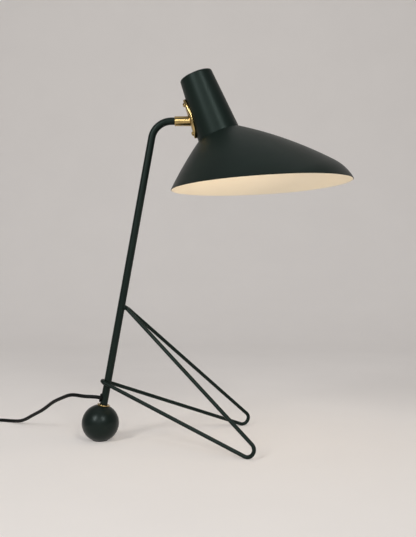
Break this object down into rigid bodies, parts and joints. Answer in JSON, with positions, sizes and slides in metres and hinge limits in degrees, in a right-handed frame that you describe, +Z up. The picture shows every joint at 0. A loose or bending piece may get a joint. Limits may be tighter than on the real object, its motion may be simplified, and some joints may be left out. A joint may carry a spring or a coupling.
{
  "type": "tripod table lamp",
  "caption": "Table lamp on a ball foot and a bent-rod leg frame, with a leaning stem and a spun shade that swivels at the end of the arm.",
  "frame": {"origin": "centre of the ball foot on the surface that the lamp stands on", "axes": "+Z up, +X from the stem to the shade, +Y to the left side seen from behind the stem"},
  "size_m": [0.5714, 0.2983, 0.4997],
  "materials": {
    "green_paint": "satin powder coat, very dark green",
    "green_gloss": "semi-gloss dark green lacquer",
    "brass": "satin brushed brass",
    "steel": "zinc-plated steel",
    "felt": "dense felt",
    "cord_black": "matt black flexible PVC",
    "black_plastic": "satin moulded plastic",
    "holder_plastic": "moulded phenolic",
    "ceramic": "glazed white insulator",
    "thread_brass": "plated sheet",
    "opal_glass": "opal white",
    "bulb_metal": "pressed threaded cap",
    "nylon": "natural nylon",
    "tie_black": "woven hook and loop strap"
  },
  "bodies": {
    "base": {"foot_ball": "green_gloss", "foot_pad": "felt", "ball_collar": "brass", "foot_screw": "steel", "stem_plug": "steel", "stem_tube": "green_paint", "leg_frame": "green_paint", "leg_welds": "green_paint", "cord_grommet": "cord_black", "swivel_spindle": "brass", "stem_flex": "cord_black", "cord_lead": "cord_black", "cord_link": "cord_black", "cord_coil": "cord_black", "cord_tail": "cord_black", "coil_ties": "tie_black", "switch_base": "black_plastic", "switch_cover": "black_plastic", "switch_screws": "steel", "switch_glands": "cord_black", "switch_core": "ceramic", "switch_leads": "cord_black", "plug_body": "black_plastic", "plug_pins": "bulb_metal", "pin_sleeves": "black_plastic"},
    "head": {"swivel_ferrule": "brass", "friction_screw": "steel", "friction_pad": "nylon", "back_plate": "brass", "plate_screws": "brass", "plate_nuts": "steel", "shade_neck": "green_paint", "shade_bell": "green_paint", "holder_strap": "steel", "holder_nipple": "thread_brass", "nipple_nut": "steel", "holder_cap": "holder_plastic", "holder_body": "holder_plastic", "holder_sleeve": "thread_brass", "holder_insert": "ceramic", "holder_contact": "thread_brass", "bulb_glass": "opal_glass", "bulb_cap": "bulb_metal", "bulb_contact": "bulb_metal", "head_flex": "cord_black"},
    "rocker": {"switch_rocker": "black_plastic"}
  },
  "joints": [
    {"name": "shade_swivel", "type": "hinge", "parent": "base", "child": "head", "pos_m": [0.11, 0, 0.4303], "axis": [1, 0, 0], "range_deg": [-90, 90]},
    {"name": "switch_rock", "type": "hinge", "parent": "base", "child": "rocker", "pos_m": [-0.2145, 0.014, 0.0115], "axis": [1, 0, 0], "range_deg": [0, 16]}
  ]
}
